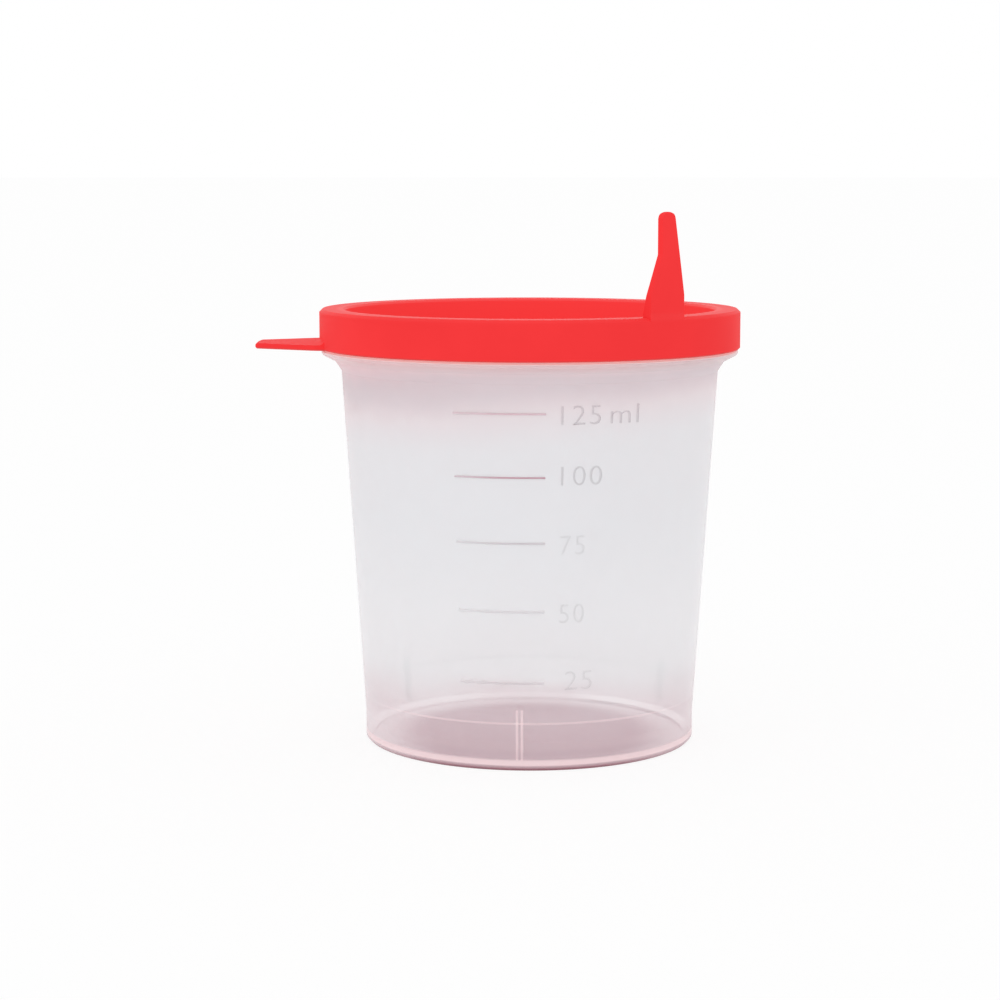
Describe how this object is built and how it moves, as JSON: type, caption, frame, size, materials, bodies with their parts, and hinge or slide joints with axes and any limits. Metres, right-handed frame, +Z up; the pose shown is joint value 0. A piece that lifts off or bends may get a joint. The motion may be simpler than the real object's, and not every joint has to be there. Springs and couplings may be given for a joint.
{
  "type": "specimen container",
  "caption": "Translucent tapered specimen cup with raised fill lines and a red press-on lid that has a sunken top, a flat pull tab and an upright finger tongue.",
  "frame": {"origin": "centre of the cup's base plane, on the axis of the cup", "axes": "+Z up the axis of the cup out of its mouth, -Y to the front where the fill lines are, -X along the pull tab"},
  "size_m": [0.0776, 0.0674, 0.0853],
  "materials": {
    "cup": "translucent natural polypropylene, satin",
    "lid": "opaque red polyethylene, smooth"
  },
  "bodies": {
    "cup": {"cup": "cup"},
    "lid": {"lid": "lid"}
  },
  "joints": [
    {"name": "lid_lift", "type": "slide", "parent": "cup", "child": "lid", "axis": [0, 0, 1], "range_m": [0, 0.06]}
  ]
}
